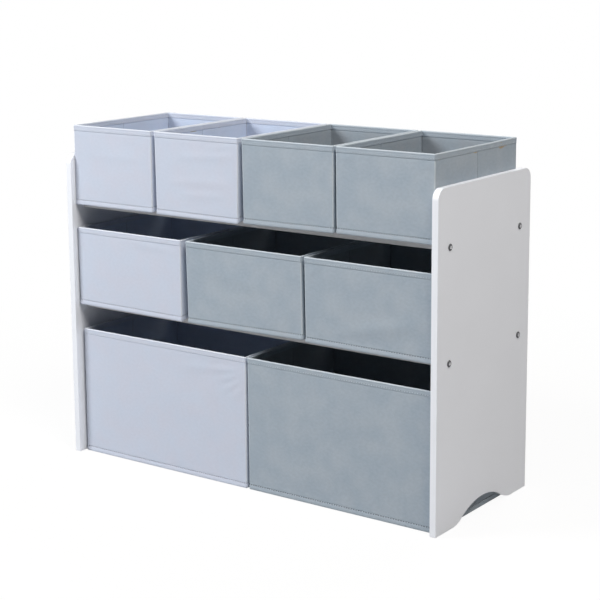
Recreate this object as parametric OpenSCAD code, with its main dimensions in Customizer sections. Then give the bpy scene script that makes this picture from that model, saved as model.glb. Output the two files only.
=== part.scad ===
// Open toy cabinet for a nursery: two side panels are joined by four square bars.
// The bars carry a top row and a middle row of fabric bins, and larger bins stand on the floor.
// The origin is on the floor at the middle of the footprint. The front faces -Y.

/* [Side panels] */
// Width between the side panels
inner_width = 816; // [700:2:1000]
// Depth of a side panel, front to back
panel_depth = 322; // [280:1:400]
// Height of a side panel
panel_height = 600; // [540:1:720]
// Thickness of a side panel
panel_thick = 12; // [9:0.5:18]
// Radius of the two top corners of a side panel
panel_corner_radius = 20; // [5:1:60]
// Width of the arch between the two feet of a side panel, on the floor
arch_width = 210; // [160:1:250]
// Height of the arch
arch_height = 30; // [20:1:40]
// Radius that runs the arch out into the feet
arch_foot_radius = 60; // [20:1:80]

/* [Bars] */
// Width and height of a square bar
bar_size = 12; // [10:0.5:16]
// Wall of a bar
bar_wall = 1; // [0.8:0.1:1.5]
// Radius of the outer corners of a bar
bar_corner_radius = 1.5; // [1:0.1:2.5]
// Distance from the front or back edge of the panels to the nearer face of a bar
bar_inset = 33; // [28:1:50]
// Distance from the top of the panels down to the top face of the upper bars
top_bar_drop = 96; // [60:1:130]
// Height from the middle bars to the upper bars
row_pitch = 200; // [170:1:230]

/* [Screws and plugs] */
// Diameter of the head of a screw
screw_head_diameter = 12; // [9:0.5:16]
// Height of the straight rim of the head
screw_head_rim = 1; // [0.5:0.1:2]
// Height of the sloping top of the head
screw_head_crown = 1.2; // [0.5:0.1:2]
// Diameter of the flat on top of the head
screw_head_flat = 8.4; // [6:0.1:9]
// Diameter of the shank of a screw
screw_diameter = 6; // [5:0.5:7]
// Length of the shank under the head
screw_length = 32; // [25:1:40]
// Width of the hexagon socket across its flats
socket_width = 4; // [3:0.5:5]
// Depth of the hexagon socket
socket_depth = 3; // [2:0.1:4]
// Room round the shank in the hole of a panel, all round
screw_hole_clearance = 0.3; // [0.1:0.05:0.5]
// Room between the shank and the thread that holds it, all round
thread_clearance = 0.05; // [0.02:0.01:0.1]
// Length of the threaded plug in each end of a bar
plug_length = 28; // [15:1:40]
// Room between a plug and the inside of its bar, on each side
plug_clearance = 0.1; // [0.05:0.05:0.3]

/* [Rows of bins] */
// Number of bins in the top row
top_bin_count = 4; // [3:1:5]
// Number of bins in the middle row
middle_bin_count = 3; // [2:1:4]
// Number of bins in the bottom row
bottom_bin_count = 2; // [1:1:3]
// Gap between neighbours in the top row
top_bin_gap = 6; // [2:0.5:9]
// Gap between neighbours in the middle row
middle_bin_gap = 8; // [2:0.5:12]
// Gap between neighbours in the bottom row, which are pushed together
bottom_bin_gap = 0.9; // [0.6:0.1:6]
// Room between the left panel and the top row
top_left_room = 0.5; // [0.5:0.1:5]
// Room between the top row and the right panel
top_right_room = 0.5; // [0.5:0.1:5]
// Room between the left panel and the middle row
middle_left_room = 2; // [0.5:0.5:8]
// Room between the middle row and the right panel
middle_right_room = 3; // [0.5:0.5:8]
// Room between the left panel and the bottom row, which stands against the right panel
bottom_left_room = 9; // [0.5:0.5:15]
// Room between the bottom row and the right panel
bottom_right_room = 0.5; // [0.5:0.1:5]
// Height of a bin of the top row
top_bin_height = 152; // [120:1:190]
// Gap for a hand between the rims of the middle row and the bars above them
middle_reach = 36; // [25:1:60]
// Gap for a hand between the rims of the bottom row and the bars above them
bottom_reach = 40; // [25:1:70]
// How far the bins stand out in front of the front bars
bin_front_overhang = 23; // [10:1:27]
// How far the bins stand out behind the back bars
bin_back_overhang = 2; // [0:1:20]
// How much further back the bottom row stands than the rows on the bars
bottom_row_setback = 5; // [0:1:15]
// Room between a bin and the bars that it stands on
rest_clearance = 0.3; // [0.2:0.1:0.6]

/* [Making of a bin] */
// Thickness of one layer of the fabric
fabric_thick = 0.6; // [0.4:0.1:1]
// Thickness of the stiff boards inside the walls
board_thick = 1.6; // [1:0.1:3]
// Room round a board in its pocket, on each side
board_clearance = 0.1; // [0.05:0.05:0.3]
// Radius of the upright corners of the walls
bin_corner_radius = 4; // [3:0.5:8]
// Thickness of the bands sewn round the rim and the foot
band_thick = 0.5; // [0.3:0.1:1]
// Room between the rim band and the wall inside it
band_clearance = 0.05; // [0.02:0.01:0.1]
// Height of the band that binds the rim
rim_band_height = 11.5; // [8:0.5:20]
// Height of the band round the foot
foot_band_height = 10; // [6:0.5:20]
// Height of the seam under the pockets
pocket_floor = 3; // [2:0.5:5]
// Width of the seam down the middle of a side, where it folds
fold_width = 3; // [2.5:0.5:6]
// Depth of the crease that is pressed into each face of that seam
crease_depth = 0.9; // [0.4:0.1:1]
// Thickness of the loose board on the bottom of a bin
base_board_thick = 2; // [1:0.5:4]
// Room between the loose board and the walls, on each side
base_board_clearance = 1.5; // [1:0.1:3]

/* [Hidden] */
$fn = 64;
// How far a cut runs past the face that it opens
cut_over = 1;

// Heights of the top faces of the bars
top_bar_level = panel_height - top_bar_drop;
middle_bar_level = top_bar_level - row_pitch;
// Distance of the bars' middles from the middle of the cabinet, front to back
bar_offset = panel_depth / 2 - bar_inset - bar_size / 2;
bar_hollow = bar_size - 2 * bar_wall;
bar_hollow_radius = max(bar_corner_radius - bar_wall, 0.3);
// Where the four bars lie, as [Y, Z] of their middles
BAR_PLACES = [
    [-bar_offset, top_bar_level - bar_size / 2],
    [bar_offset, top_bar_level - bar_size / 2],
    [-bar_offset, middle_bar_level - bar_size / 2],
    [bar_offset, middle_bar_level - bar_size / 2]
];

// The arch is one arc that meets the two foot arcs smoothly: the two radii add up to this sum
arch_half = arch_width / 2;
arch_radius_sum = (arch_half * arch_half + arch_height * arch_height) / (2 * arch_height);
arch_radius = arch_radius_sum - arch_foot_radius;
arch_centre = arch_height - arch_radius;
// Where the arch meets a foot arc
arch_meet_y = arch_half * arch_radius / arch_radius_sum;
arch_meet_z = arch_centre + (arch_foot_radius - arch_centre) * arch_radius / arch_radius_sum;

// The walls of a bin are a board between two layers of fabric
pocket_thick = board_thick + 2 * board_clearance;
wall_thick = pocket_thick + 2 * fabric_thick;
bin_floor = 2 * fabric_thick;
inner_corner_radius = max(bin_corner_radius - wall_thick, 0.6);
rim_corner_radius = max(inner_corner_radius - band_thick, 0.4);

bin_front = -bar_offset - bar_size / 2 - bin_front_overhang;
bin_depth = 2 * bar_offset + bar_size + bin_front_overhang + bin_back_overhang;
middle_bin_height = row_pitch - bar_size - rest_clearance - middle_reach;
bottom_bin_height = middle_bar_level - bar_size - bottom_reach;

// Each row: name, number of bins, gap, level of the underside, height, front face, number of light bins,
// room at the left panel, room at the right panel
ROWS = [
    ["top", top_bin_count, top_bin_gap, top_bar_level + rest_clearance, top_bin_height, bin_front, 2,
        top_left_room, top_right_room],
    ["middle", middle_bin_count, middle_bin_gap, middle_bar_level + rest_clearance,
        middle_bin_height, bin_front, 1, middle_left_room, middle_right_room],
    ["bottom", bottom_bin_count, bottom_bin_gap, 0, bottom_bin_height,
        bin_front + bottom_row_setback, 1, bottom_left_room, bottom_right_room]
];
PIECES = ["cover", "rim_band", "wall_boards", "base_board"];

light_fabric = "#C6CCDC";
grey_fabric = "#A1AAB3";

function bin_name(row, index) = str(row[0], "_bin_", index);
function bin_width(row) = (inner_width - row[7] - row[8] - (row[1] - 1) * row[2]) / row[1];
function bin_middle(row, index) =
    -inner_width / 2 + row[7] + (index - 0.5) * bin_width(row) + (index - 1) * row[2];
function bin_colour(row, index) = index <= row[6] ? light_fabric : grey_fabric;

// A flat rectangle with round corners
module round_rectangle(width, depth, radius) {
    square([width - 2 * radius, depth], center = true);
    square([width, depth - 2 * radius], center = true);
    for (x = [-1, 1], y = [-1, 1])
        translate([x * (width / 2 - radius), y * (depth / 2 - radius)])
            circle(radius);
}

// An upright block with round corners, centred on the origin with its underside at level
module round_block(width, depth, radius, level, height) {
    translate([0, 0, level])
        linear_extrude(height)
            round_rectangle(width, depth, radius);
}

// Turns a flat profile in Y and Z into a piece that runs along X
module along_x(length) {
    rotate([90, 0, 90])
        linear_extrude(length, center = true)
            children();
}

// The outline of a side panel, with Y across and Z up
module panel_outline() {
    difference() {
        union() {
            translate([-panel_depth / 2, 0])
                square([panel_depth, panel_height - panel_corner_radius]);
            translate([-panel_depth / 2 + panel_corner_radius, 0])
                square([panel_depth - 2 * panel_corner_radius, panel_height]);
            for (side = [-1, 1])
                translate([side * (panel_depth / 2 - panel_corner_radius), panel_height - panel_corner_radius])
                    circle(panel_corner_radius, $fn = 96);
        }
        arch_cut();
    }
}

// What the arch takes away: a round vault, and under each foot arc a sliver that thins to nothing
module arch_cut() {
    intersection() {
        translate([0, arch_centre])
            circle(arch_radius, $fn = 256);
        translate([-arch_meet_y, -cut_over])
            square([2 * arch_meet_y, arch_height + 2 * cut_over]);
    }
    for (side = [0, 1])
        mirror([side, 0])
            difference() {
                translate([arch_meet_y, -cut_over])
                    square([arch_half - arch_meet_y, arch_meet_z + cut_over]);
                translate([arch_half, arch_foot_radius])
                    circle(arch_foot_radius, $fn = 256);
            }
}

// A side panel: side is -1 on the left and 1 on the right
module side_panel(side) {
    color("#E9EAEE")
        translate([side * (inner_width + panel_thick) / 2, 0, 0])
            difference() {
                along_x(panel_thick)
                    panel_outline();
                for (place = BAR_PLACES)
                    translate([0, place[0], place[1]])
                        rotate([0, 90, 0])
                            cylinder(h = panel_thick + 2 * cut_over,
                                r = screw_diameter / 2 + screw_hole_clearance, center = true);
            }
}

// A hollow square bar between the panels
module bar(place) {
    color("#E4E5E8")
        translate([0, place[0], place[1]])
            along_x(inner_width)
                difference() {
                    round_rectangle(bar_size, bar_size, bar_corner_radius);
                    round_rectangle(bar_hollow, bar_hollow, bar_hollow_radius);
                }
}

// The threaded plugs that fill the ends of the bars
module bar_end_plugs() {
    plug_size = bar_hollow - 2 * plug_clearance;
    color("#3A3B3E")
        for (place = BAR_PLACES, side = [-1, 1])
            translate([side * (inner_width - plug_length) / 2, place[0], place[1]])
                along_x(plug_length)
                    difference() {
                        round_rectangle(plug_size, plug_size, bar_hollow_radius);
                        circle(screw_diameter / 2 + thread_clearance);
                    }
}

// One screw: its shank runs down from the origin and its head stands on it
module screw() {
    difference() {
        union() {
            translate([0, 0, -screw_length])
                cylinder(h = screw_length + screw_head_rim / 2, d = screw_diameter);
            cylinder(h = screw_head_rim, d = screw_head_diameter);
            translate([0, 0, screw_head_rim])
                cylinder(h = screw_head_crown, d1 = screw_head_diameter, d2 = screw_head_flat);
        }
        translate([0, 0, screw_head_rim + screw_head_crown - socket_depth])
            cylinder(h = socket_depth + cut_over, d = socket_width / cos(30), $fn = 6);
    }
}

// The screws that go through the panels into the plugs
module panel_screws() {
    color("#6F7276")
        for (place = BAR_PLACES, side = [-1, 1])
            translate([side * (inner_width / 2 + panel_thick), place[0], place[1]])
                rotate([0, side * 90, 0])
                    screw();
}

// The pockets for the wall boards, or with a positive gap the boards that stand in them
module wall_pockets(width, depth, level, top, gap) {
    inside_width = width - 2 * wall_thick;
    inside_depth = depth - 2 * wall_thick;
    thick = pocket_thick - 2 * gap;
    half_length = (inside_depth - fold_width) / 2;
    for (side = [-1, 1]) {
        translate([0, side * (depth - wall_thick) / 2, (level + top) / 2])
            cube([inside_width - 2 * gap, thick, top - level], center = true);
        for (half = [-1, 1])
            translate([side * (width - wall_thick) / 2, half * (fold_width + half_length) / 2,
                (level + top) / 2])
                cube([thick, half_length - 2 * gap, top - level], center = true);
    }
}

// The creases down the middle of both sides, outside and inside, that let a side fold
module fold_creases(width, height) {
    for (side = [-1, 1], face = [0, wall_thick])
        translate([side * (width / 2 - face), 0, height / 2 + foot_band_height])
            rotate([0, 0, 45])
                cube([crease_depth * sqrt(2), crease_depth * sqrt(2), height], center = true);
}

// The sewn cover of a bin: two layers of fabric with open pockets between them, and a floor
module bin_cover(width, depth, height) {
    wall_width = width - 2 * band_thick;
    wall_depth = depth - 2 * band_thick;
    wall_top = height - band_thick;
    difference() {
        union() {
            round_block(wall_width, wall_depth, bin_corner_radius, 0, wall_top);
            round_block(width, depth, bin_corner_radius + band_thick, 0, foot_band_height);
        }
        round_block(wall_width - 2 * wall_thick, wall_depth - 2 * wall_thick,
            inner_corner_radius, bin_floor, height);
        wall_pockets(wall_width, wall_depth, pocket_floor, height, 0);
        fold_creases(wall_width, wall_top);
    }
}

// The band that is folded over the rim and binds the pockets shut
module bin_rim_band(width, depth, height) {
    wall_width = width - 2 * band_thick;
    wall_depth = depth - 2 * band_thick;
    difference() {
        round_block(width, depth, bin_corner_radius + band_thick,
            height - rim_band_height, rim_band_height);
        difference() {
            round_block(wall_width + 2 * band_clearance, wall_depth + 2 * band_clearance,
                bin_corner_radius + band_clearance, 0, height - band_thick);
            round_block(wall_width - 2 * wall_thick - 2 * band_clearance,
                wall_depth - 2 * wall_thick - 2 * band_clearance,
                inner_corner_radius, 0, height);
        }
        round_block(wall_width - 2 * wall_thick - 2 * band_thick,
            wall_depth - 2 * wall_thick - 2 * band_thick, rim_corner_radius, 0, height + cut_over);
    }
}

// The six stiff boards in the walls: one in the front, one in the back, and two in each side
module bin_wall_boards(width, depth, height) {
    wall_pockets(width - 2 * band_thick, depth - 2 * band_thick, pocket_floor,
        height - band_thick - board_clearance, board_clearance);
}

// The loose board that lies on the floor of a bin
module bin_base_board(width, depth) {
    inset = 2 * (band_thick + wall_thick + base_board_clearance);
    round_block(width - inset, depth - inset, inner_corner_radius, bin_floor, base_board_thick);
}

// Draws one piece of one bin where it stands
module bin_piece(row, index, piece) {
    width = bin_width(row);
    height = row[4];
    translate([bin_middle(row, index), row[5] + bin_depth / 2, row[3]]) {
        if (piece == "cover")
            color(bin_colour(row, index))
                bin_cover(width, bin_depth, height);
        if (piece == "rim_band")
            color(bin_colour(row, index))
                bin_rim_band(width, bin_depth, height);
        if (piece == "wall_boards")
            color("#B9A98C")
                bin_wall_boards(width, bin_depth, height);
        if (piece == "base_board")
            color("#8F949C")
                bin_base_board(width, bin_depth);
    }
}

side_panel(-1);  // side_panel_left
side_panel(1);  // side_panel_right
bar(BAR_PLACES[0]);  // top_front_bar
bar(BAR_PLACES[1]);  // top_back_bar
bar(BAR_PLACES[2]);  // middle_front_bar
bar(BAR_PLACES[3]);  // middle_back_bar
bar_end_plugs();
panel_screws();
for (row = ROWS, index = [1:row[1]], piece = PIECES)
    bin_piece(row, index, piece);
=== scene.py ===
"""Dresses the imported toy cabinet: painted side panels, square bars, nine sewn felt bins, a plain studio."""

import logging
import math
from dataclasses import dataclass, field
from enum import Enum, IntEnum
from typing import Any, Iterable, NamedTuple, Sequence

import bmesh
import bpy
import numpy as np
from mathutils import Matrix, Vector


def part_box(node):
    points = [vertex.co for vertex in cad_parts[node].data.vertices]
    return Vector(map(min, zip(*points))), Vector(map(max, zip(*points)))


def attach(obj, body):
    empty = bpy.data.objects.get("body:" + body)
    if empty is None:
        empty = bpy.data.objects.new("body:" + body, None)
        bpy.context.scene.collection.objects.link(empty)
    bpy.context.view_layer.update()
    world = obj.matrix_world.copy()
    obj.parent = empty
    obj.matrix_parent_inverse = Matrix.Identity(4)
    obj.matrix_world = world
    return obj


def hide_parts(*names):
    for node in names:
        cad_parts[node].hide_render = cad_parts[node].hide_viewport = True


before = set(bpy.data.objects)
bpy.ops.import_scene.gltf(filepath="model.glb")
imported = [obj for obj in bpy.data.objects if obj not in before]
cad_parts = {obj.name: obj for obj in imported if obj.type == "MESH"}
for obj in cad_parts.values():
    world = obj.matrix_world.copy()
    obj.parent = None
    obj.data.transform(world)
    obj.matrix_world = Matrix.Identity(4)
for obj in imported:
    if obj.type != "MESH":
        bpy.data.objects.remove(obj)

LOG = logging.getLogger("toy_cabinet")
MM = 0.001
FAR = 1000.0
NOISE_LOW, NOISE_HIGH = 0.3, 0.7
BARS = ("top_front_bar", "top_back_bar", "middle_front_bar", "middle_back_bar")
Colour = tuple[float, float, float]
Place = tuple[float, float, float]
Seen = tuple[int, int, int]
Socket = bpy.types.NodeSocket


def linear(red: float, green: float, blue: float) -> Colour:
    """Turns a colour as it is seen, 0 to 255, into the linear values that shaders take.

    Args:
        red: Red, 0 to 255.
        green: Green, 0 to 255.
        blue: Blue, 0 to 255.

    Returns:
        The linear colour, 0 to 1.
    """
    return tuple(
        value / 12.92 if value <= 0.04045 else ((value + 0.055) / 1.055) ** 2.4
        for value in (red / 255, green / 255, blue / 255)
    )


def smooth(low: float, high: float, value: float | np.ndarray) -> float | np.ndarray:
    """Rises smoothly from 0 at low to 1 at high."""
    share = np.clip((value - low) / (high - low), 0.0, 1.0)
    return share * share * (3 - 2 * share)


def lengths(places: np.ndarray) -> np.ndarray:
    """Adds up the way along places in millimetres, in metres, from 0 at the first."""
    return np.concatenate([[0.0], np.cumsum(np.linalg.norm(np.diff(places, axis=0), axis=1))]) * MM


def levels(low: float, high: float, step: float) -> list[float]:
    """Gives evenly spaced heights from low to high, both included."""
    return list(np.linspace(low, high, max(round((high - low) / step), 1) + 1))


def stand(name: str, data: bpy.types.ID) -> bpy.types.Object:
    """Makes an object of a mesh, lamp or camera and puts it in the scene.

    Args:
        name: The object's name.
        data: What it shows.

    Returns:
        The object, at the origin.
    """
    piece = bpy.data.objects.new(name, data)
    bpy.context.scene.collection.objects.link(piece)
    return piece


class Cloth(Enum):
    """The two colours of felt."""

    LIGHT = "light_fabric"
    GREY = "grey_fabric"


class Patch(Enum):
    """The parts of a bin's felt that take a tone of their own, some of them painted shade or a painted
    highlight, and what their materials' names end in.
    """

    WALL = ""
    RIM = "_rim"
    FOOT = "_foot"
    # Painted shade: a darker felt for the line under the rim band and along the rim band's stitch row.
    SEAM = "_seam"
    # Inside tone: for the grey felt darker than the wall, painted shade for the inside of the bin.
    INSIDE = "_inside"
    # Painted shade: a darker felt along the folds, the inside corners and the groove above the foot hem.
    FOLD = "_fold"
    # Painted highlight: a lighter felt on the rolled top edge of the rim and round the outer corners.
    EDGE = "_edge"


class Wall(Enum):
    """The walls of a bin, in the order in which its outline passes them."""

    FRONT = 0
    RIGHT = 1
    BACK = 2
    LEFT = 3


class CoverSlot(IntEnum):
    """The material slots of a bin's cover."""

    WALL = 0
    HEM = 1
    # Painted shade: the darker seam felt on the line under the rim band.
    SEAM = 2
    # The inside felt, darker than the wall for the grey bins: painted shade.
    INSIDE = 3
    # Painted shade: the darker fold felt on the folds, the inside corners and the groove above the hem.
    FOLD = 4
    # Painted highlight: the lighter edge felt round the outer corners.
    CORNER = 5


class RimSlot(IntEnum):
    """The material slots of a bin's rim band."""

    BAND = 0
    # Painted highlight: the lighter edge felt on the rolled top edge.
    ROLL = 1
    # Painted shade: the darker seam felt along the stitch row of the rim band.
    NEEDLE = 2


class Graph:
    """A tree of nodes, with short ways to add and join them."""

    def __init__(self, tree: bpy.types.NodeTree) -> None:
        """Takes the tree."""
        self.tree = tree

    def add(self, kind: str, inputs: dict[Any, Any] | None = None, **settings: Any) -> bpy.types.Node:
        """Adds a node.

        Args:
            kind: The node's type.
            inputs: A value or another node's socket for each input, by name or number.
            settings: The node's own settings.

        Returns:
            The node.
        """
        node = self.tree.nodes.new(kind)
        for key, value in settings.items():
            setattr(node, key, value)
        for key, value in (inputs or {}).items():
            self.feed(node.inputs[key], value)
        return node

    def feed(self, socket: Socket, value: Any) -> None:
        """Gives an input its value.

        Args:
            socket: The input.
            value: Another node's socket, a number, a vector or a colour.
        """
        if isinstance(value, Socket):
            self.tree.links.new(value, socket)
        elif socket.type == "RGBA":
            socket.default_value = (*value[:3], 1.0)
        else:
            socket.default_value = value

    def get(self, kind: str, inputs: dict[Any, Any] | None = None, **settings: Any) -> Socket:
        """Adds a node and returns its first output."""
        return self.add(kind, inputs, **settings).outputs[0]

    def calc(self, kind: str, first: Any, second: Any = 0.0) -> Socket:
        """Adds a Math node for the operation and returns its result."""
        return self.get("ShaderNodeMath", {0: first, 1: second}, operation=kind)

    def seen(self) -> Socket:
        """Finds the rays that show what they meet: from the camera, mirrored or through something.

        Returns:
            The socket that is 1 for such a ray.
        """
        path = self.add("ShaderNodeLightPath").outputs
        mirrored = self.calc("MAXIMUM", path["Is Glossy Ray"], path["Is Transmission Ray"])
        return self.calc("MAXIMUM", path["Is Camera Ray"], mirrored)


class Bench(Graph):
    """A material's nodes."""

    def __init__(self, name: str) -> None:
        """Starts a material with a shader and an output.

        Args:
            name: The material's name.
        """
        self.material = bpy.data.materials.new(name)
        self.material.use_nodes = True
        super().__init__(self.material.node_tree)
        self.tree.nodes.clear()
        self.shader = self.add("ShaderNodeBsdfPrincipled")
        self.output = self.add("ShaderNodeOutputMaterial", {"Surface": self.shader.outputs["BSDF"]})

    def place(self) -> Socket:
        """Gives the Object coordinates."""
        return self.add("ShaderNodeTexCoord").outputs["Object"]

    def noise(self, vector: Socket, scale: float, detail: float = 2.0, flat: bool = False) -> Socket:
        """Adds a Noise Texture.

        Args:
            vector: The coordinates.
            scale: Its scale.
            detail: Its detail.
            flat: True for a pattern in two dimensions.

        Returns:
            The noise's value, about 0.5 in the middle.
        """
        inputs = {"Vector": vector, "Scale": scale, "Detail": detail}
        return self.get("ShaderNodeTexNoise", inputs, noise_dimensions="2D" if flat else "3D")

    def blend(self, share: Any, first: Any, second: Any, kind: str = "MIX") -> Socket:
        """Mixes two colours.

        Args:
            share: How much of the second.
            first: The first colour or socket.
            second: The second colour or socket.
            kind: How they are mixed.

        Returns:
            The mixed colour.
        """
        inputs = {0: share, 6: first, 7: second}
        return self.add("ShaderNodeMix", inputs, data_type="RGBA", blend_type=kind).outputs[2]

    def spread(
        self,
        value: Socket,
        to_low: float = 0.0,
        to_high: float = 1.0,
        low: float = NOISE_LOW,
        high: float = NOISE_HIGH,
    ) -> Socket:
        """Maps a value from low and high onto to_low and to_high."""
        return self.get("ShaderNodeMapRange", {0: value, 1: low, 2: high, 3: to_low, 4: to_high})

    def tint(
        self,
        value: Socket,
        tone: Colour,
        dark: float,
        bright: float = 1.0,
        low: float = NOISE_LOW,
        high: float = NOISE_HIGH,
    ) -> Socket:
        """Varies a colour from its dark share, where the value is low, to its bright one."""
        ends = (tuple(part * share for part in tone) for share in (dark, bright))
        return self.blend(self.spread(value, low=low, high=high), *ends)

    def bump(self, height: Socket, distance: float, strength: float = 1.0) -> None:
        """Bumps the shader's normal by a height of 0 to 1, where 1 stands the distance high, in metres."""
        bump = self.get("ShaderNodeBump", {"Height": height, "Distance": distance, "Strength": strength})
        self.feed(self.shader.inputs["Normal"], bump)

    def surface(self, colour: Any, roughness: Any, **fixed: float) -> None:
        """Sets the shader's colour, roughness and fixed values.

        Args:
            colour: A colour or socket.
            roughness: A value or socket.
            fixed: Other inputs of the shader, with spaces in their names as underscores.
        """
        self.feed(self.shader.inputs["Base Color"], colour)
        self.feed(self.shader.inputs["Roughness"], roughness)
        for name, value in fixed.items():
            self.feed(self.shader.inputs[name.replace("_", " ").title().replace("Ior", "IOR")], value)


@dataclass(frozen=True)
class Finish:
    """What every finish has: a name for its material and a tone."""

    name: str
    tone: Colour

    def build(self) -> bpy.types.Material:
        """Builds the material.

        Returns:
            The material.
        """
        bench = Bench(self.name)
        self.dress(bench)
        return bench.material

    def dress(self, bench: Bench) -> None:
        """Adds the finish's own nodes, in each kind of finish."""
        raise NotImplementedError


@dataclass(frozen=True)
class FeltFinish(Finish):
    """Non-woven felt, in millimetres: pressed dots, loose fibres, thin patches and a cloudy colour."""

    other_tone: Colour
    mottle: float = 0.03
    dot_pitch: float = 1.5
    cloud: float = 42.0
    patch: float = 5.5
    lean: float = 0.5
    stretch: Place = (0.8, 1.25, 1.0)
    roughness: float = 0.94
    relief: float = 0.08

    def dress(self, bench: Bench) -> None:
        """Adds the nodes, on the piece's own cloth map, which is in metres.

        Args:
            bench: The material's nodes.
        """
        chart = bench.get("ShaderNodeUVMap", uv_map="cloth")
        place = bench.get("ShaderNodeVectorMath", {0: chart, "Scale": 1 / MM}, operation="SCALE")
        leaning = {0: place, "Rotation": (0.0, 0.0, self.lean), "Scale": self.stretch}
        clouds = bench.spread(bench.noise(place, 1 / self.cloud, 4.0, True), low=0.32, high=0.68)
        patches = bench.noise(bench.get("ShaderNodeMapping", leaning), 1 / self.patch, 3.0, True)
        fibres = bench.noise(place, 1.1, 3.0, True)
        shade = bench.calc(
            "ADD",
            bench.spread(patches, 1 - self.mottle, 1 + self.mottle),
            bench.spread(fibres, -0.7 * self.mottle, 0.7 * self.mottle),
        )
        grey = bench.get("ShaderNodeCombineColor", {0: shade, 1: shade, 2: shade})
        colour = bench.blend(1.0, bench.blend(clouds, self.tone, self.other_tone), grey, "MULTIPLY")
        parts = bench.add("ShaderNodeSeparateXYZ", {0: place}).outputs
        turn = 2 * math.pi / self.dot_pitch
        waves = [
            bench.calc("SINE", bench.calc("MULTIPLY", bench.calc(kind, parts[0], parts[1]), turn))
            for kind in ("ADD", "SUBTRACT")
        ]
        fuzz = bench.calc("MULTIPLY", bench.noise(place, 3.2, 2.0, True), 0.5)
        dots = bench.spread(bench.calc("MULTIPLY", *waves), 0.5, 0.0, 0.2, 0.9)
        bench.bump(bench.calc("ADD", dots, fuzz), self.relief * MM, 0.8)
        bench.surface(colour, self.roughness, specular_ior_level=0.2, sheen_weight=0.08, sheen_roughness=0.6)


@dataclass(frozen=True)
class ThreadFinish(Finish):
    """Spun sewing thread."""

    strands: float = 3500.0
    relief: float = 0.06

    def dress(self, bench: Bench) -> None:
        """Adds the nodes, with the strands from a fine noise.

        Args:
            bench: The material's nodes.
        """
        strands = bench.noise(bench.place(), self.strands)
        bench.bump(strands, self.relief * MM)
        colour = bench.tint(strands, self.tone, 0.82, low=0.35, high=0.65)
        bench.surface(colour, 0.62, specular_ior_level=0.35, sheen_weight=0.15)


@dataclass(frozen=True)
class PaintFinish(Finish):
    """Satin paint: nearly even, with a fine orange peel and a little rub on the sheen."""

    roughness: float = 0.42
    peel: float = 0.02

    def dress(self, bench: Bench) -> None:
        """Adds the nodes.

        Args:
            bench: The material's nodes.
        """
        place = bench.place()
        rub = bench.spread(bench.noise(place, 28.0, 4.0), self.roughness - 0.05, self.roughness + 0.06)
        fine = bench.calc("MULTIPLY", bench.noise(place, 1400.0), 0.35)
        bench.bump(bench.calc("ADD", bench.noise(place, 420.0), fine), self.peel * MM, 0.7)
        colour = bench.tint(bench.noise(place, 7.0, 3.0), self.tone, 0.975)
        bench.surface(colour, rub, specular_ior_level=0.4)


@dataclass(frozen=True)
class SteelFinish(Finish):
    """Plated steel, with the turning marks and handling wear of a screw."""

    relief: float = 0.01

    def dress(self, bench: Bench) -> None:
        """Adds the nodes.

        Args:
            bench: The material's nodes.
        """
        place = bench.place()
        wear = bench.noise(place, 900.0, 4.0)
        bench.bump(bench.noise(place, 2600.0), self.relief * MM, 0.6)
        colour = bench.tint(wear, self.tone, 1.0, 1.7, 0.45, 0.75)
        bench.surface(colour, bench.spread(wear, 0.3, 0.48), metallic=1.0)


@dataclass(frozen=True)
class PlainFinish(Finish):
    """Moulded nylon or raw pressed board: a speckled, even body without gloss."""

    roughness: float
    grain: float
    relief: float

    def dress(self, bench: Bench) -> None:
        """Adds the nodes.

        Args:
            bench: The material's nodes.
        """
        speck = bench.noise(bench.place(), self.grain, 4.0)
        bench.bump(speck, self.relief * MM, 0.8)
        colour = bench.tint(speck, self.tone, 0.8, low=0.35, high=0.65)
        bench.surface(colour, self.roughness, specular_ior_level=0.3)


@dataclass(frozen=True)
class FloorFinish(Finish):
    """The pale studio floor: it keeps the object's soft shadow, and fades to the white background."""

    shown: Colour = (0.88, 0.88, 0.88)
    shown_shadow: float = 0.08
    fade_from: float = 0.7
    fade_to: float = 1.6

    def dress(self, bench: Bench) -> None:
        """Adds the nodes: the tone is what the floor throws back, and it is seen paler, against white.

        Args:
            bench: The material's nodes.
        """
        straight = bench.add("ShaderNodeLightPath").outputs["Is Camera Ray"]
        bench.surface(bench.blend(straight, self.tone, self.shown), 0.9, specular_ior_level=0.1)
        white = bench.get("ShaderNodeEmission", {"Color": (1.0, 1.0, 1.0), "Strength": 1.0})
        away = bench.add("ShaderNodeVectorMath", {0: bench.place()}, operation="LENGTH").outputs["Value"]
        hide = bench.spread(away, 1 - self.shown_shadow, 1.0, self.fade_from, self.fade_to)
        share = bench.calc("MULTIPLY", bench.seen(), hide)
        mix = bench.get("ShaderNodeMixShader", {0: share, 1: bench.shader.outputs["BSDF"], 2: white})
        bench.feed(bench.output.inputs["Surface"], mix)


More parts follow.
